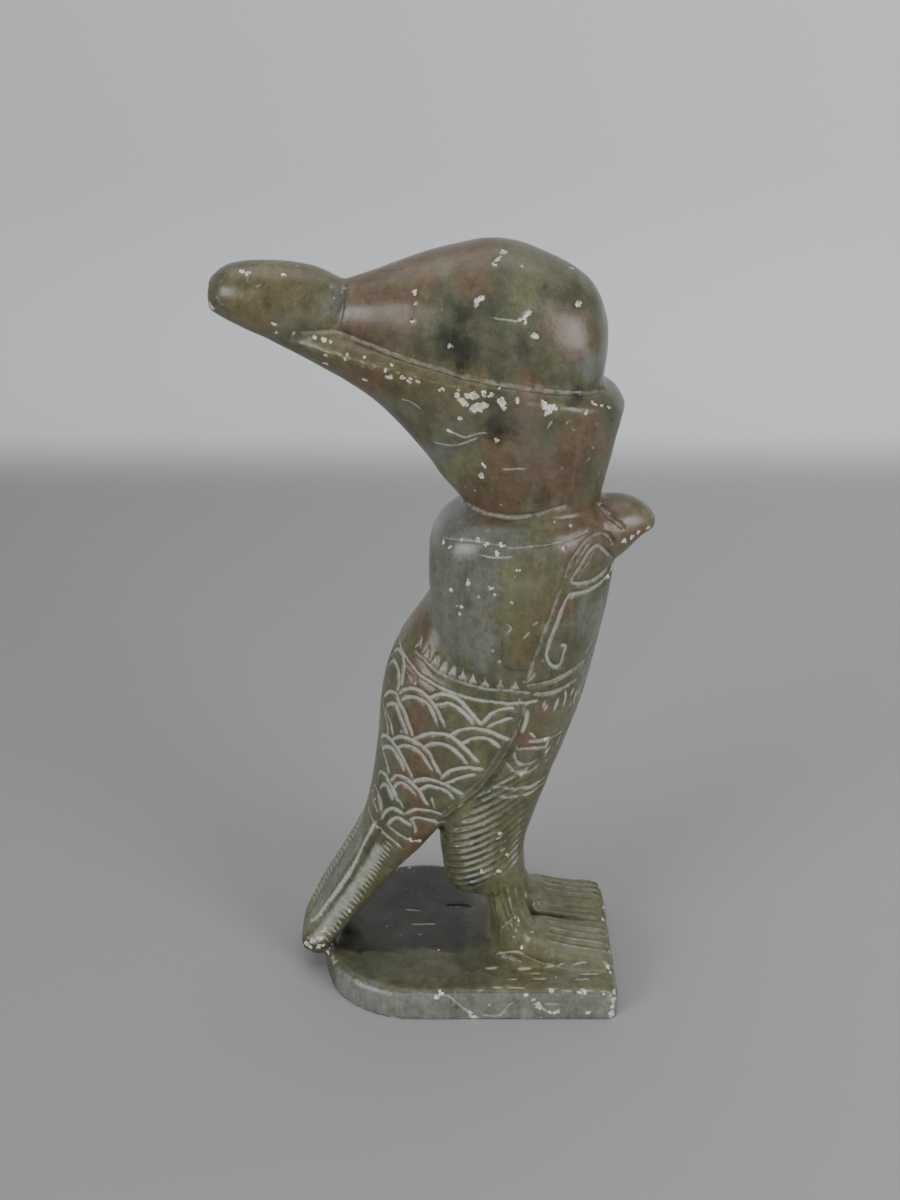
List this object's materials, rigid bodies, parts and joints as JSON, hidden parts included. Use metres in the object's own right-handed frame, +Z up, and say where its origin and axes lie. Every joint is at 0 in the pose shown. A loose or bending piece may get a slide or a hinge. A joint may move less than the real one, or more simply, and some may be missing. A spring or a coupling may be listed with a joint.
{
  "type": "horus statue",
  "caption": "Carved stone falcon in a tall double crown that leans far back, standing on a low round-backed plinth with its wing tips on the rear edge",
  "frame": {"origin": "centre of the plinth's flat underside, on the bird's plane of symmetry, halfway between the plinth's front edge and the end of its round back", "axes": "+Z up, from the underside to the crown; +X forward, the way the beak points; +Y to the bird's left"},
  "size_m": [0.1172, 0.066, 0.2206],
  "materials": {
    "soapstone": "hand-rubbed mottled olive and grey soapstone with red-brown veins, chalk-white dust in the carved lines"
  },
  "bodies": {
    "root": {"falcon_statue": "soapstone"}
  },
  "joints": []
}
